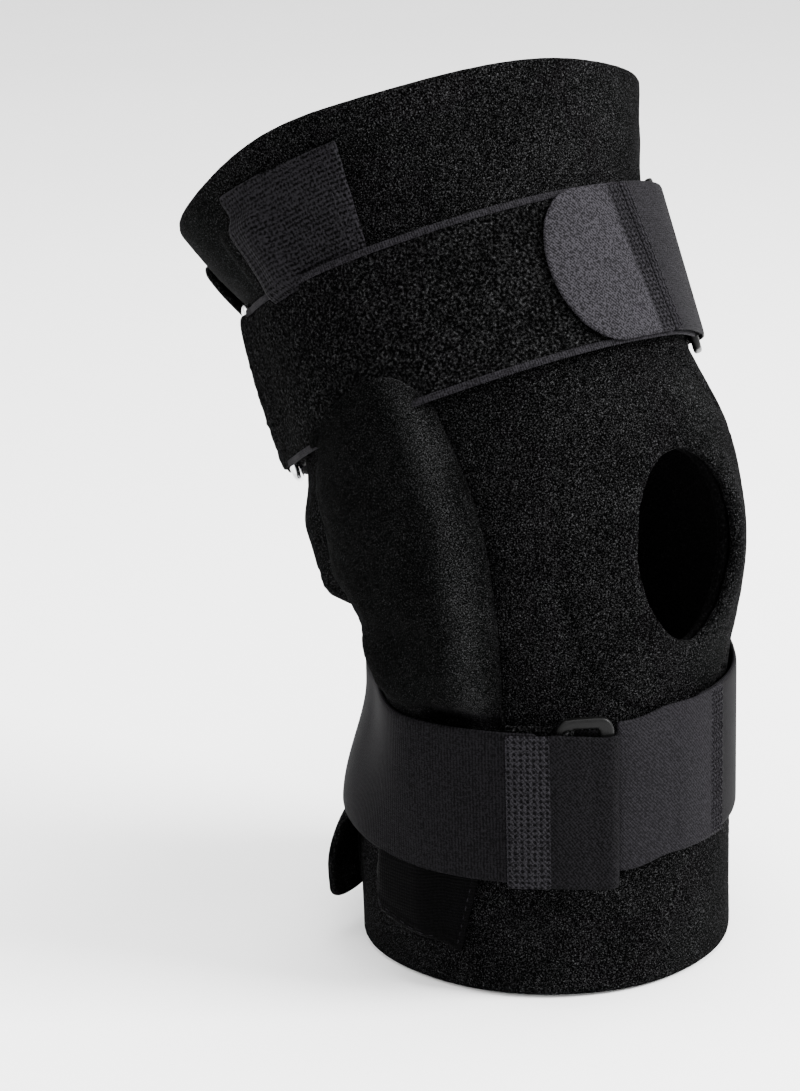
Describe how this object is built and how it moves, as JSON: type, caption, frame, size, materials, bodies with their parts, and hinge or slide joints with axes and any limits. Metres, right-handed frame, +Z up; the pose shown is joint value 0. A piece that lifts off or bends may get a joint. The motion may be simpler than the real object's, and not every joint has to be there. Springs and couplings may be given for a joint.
{
  "type": "hinged knee brace",
  "caption": "Wraparound padded knee brace with an open kneecap, geared side hinges in padded covers and ring-and-hook-tab straps.",
  "frame": {"origin": "centre of the lower hem, on the plane the brace stands on", "axes": "+Z up along the calf, -Y forward to the kneecap, -X the outer (lateral) side; the rest pose is bent 30 degrees"},
  "size_m": [0.158, 0.1991, 0.2955],
  "materials": {
    "neoprene": "short loop pile",
    "cover_fabric": "smooth brushed pile",
    "plush_loop": "deep loop pile",
    "binding": "woven tape",
    "elastic": "ribbed elastic",
    "twill_tab": "fine twill",
    "pocket_webbing": "ribbed webbing",
    "hook_strip": "moulded hooks",
    "ring_black": "gloss",
    "ring_silver": "polished",
    "stay_aluminium": "satin",
    "plate_steel": "brushed",
    "rivet_steel": "satin"
  },
  "bodies": {
    "calf": {"calf_sleeve": "neoprene", "calf_rear_flap": "neoprene", "calf_closure_hook": "hook_strip", "lower_loop_band": "plush_loop", "lower_elastic": "elastic", "lower_webbing_turn": "twill_tab", "lower_ring": "ring_black", "lower_hook_tab": "twill_tab", "lateral_lower_stay": "stay_aluminium", "lateral_lower_pocket": "pocket_webbing", "medial_lower_stay": "stay_aluminium", "medial_lower_pocket": "pocket_webbing"},
    "lateral_link": {"lateral_inner_plate": "plate_steel", "lateral_outer_plate": "plate_steel", "lateral_lower_rivet": "rivet_steel", "lateral_upper_rivet": "rivet_steel", "lateral_hinge_cover": "cover_fabric", "knee_panel": "neoprene", "patella_buttress": "neoprene"},
    "medial_link": {"medial_inner_plate": "plate_steel", "medial_outer_plate": "plate_steel", "medial_lower_rivet": "rivet_steel", "medial_upper_rivet": "rivet_steel", "medial_hinge_cover": "cover_fabric"},
    "thigh": {"thigh_sleeve": "neoprene", "thigh_rear_flap": "neoprene", "thigh_closure_hook": "hook_strip", "upper_loop_band": "plush_loop", "upper_band_lower_binding": "binding", "upper_band_upper_binding": "binding", "upper_elastic": "elastic", "upper_front_ring": "ring_black", "upper_rear_ring": "ring_silver", "lateral_upper_stay": "stay_aluminium", "lateral_upper_pocket": "pocket_webbing", "medial_upper_stay": "stay_aluminium", "medial_upper_pocket": "pocket_webbing"},
    "upper_tab": {"upper_hook_tab": "twill_tab"}
  },
  "joints": [
    {"name": "lateral_lower_pivot", "type": "hinge", "parent": "calf", "child": "lateral_link", "pos_m": [0, 0, 0.134], "axis": [-1, 0, 0], "range_deg": [-15, 35], "deforming": ["knee_panel", "patella_buttress", "lateral_hinge_cover", "lower_elastic", "calf_rear_flap"]},
    {"name": "lateral_upper_pivot", "type": "hinge", "parent": "lateral_link", "child": "thigh", "pos_m": [0, 0.00414, 0.14945], "axis": [-1, 0, 0], "range_deg": [-15, 35], "deforming": ["knee_panel", "patella_buttress", "lateral_hinge_cover", "upper_elastic", "thigh_rear_flap"]},
    {"name": "medial_lower_pivot", "type": "hinge", "parent": "calf", "child": "medial_link", "pos_m": [0, 0, 0.134], "axis": [-1, 0, 0], "range_deg": [-15, 35], "deforming": ["medial_hinge_cover"]},
    {"name": "upper_tab_peel", "type": "hinge", "parent": "thigh", "child": "upper_tab", "pos_m": [0.01692, -0.02882, 0.23892], "axis": [0, 0.5, 0.866], "range_deg": [0, 110]}
  ],
  "couplings": [
    {"joint": "lateral_upper_pivot", "follows": "lateral_lower_pivot", "ratio": 1},
    {"joint": "medial_lower_pivot", "follows": "lateral_lower_pivot", "ratio": 1}
  ]
}
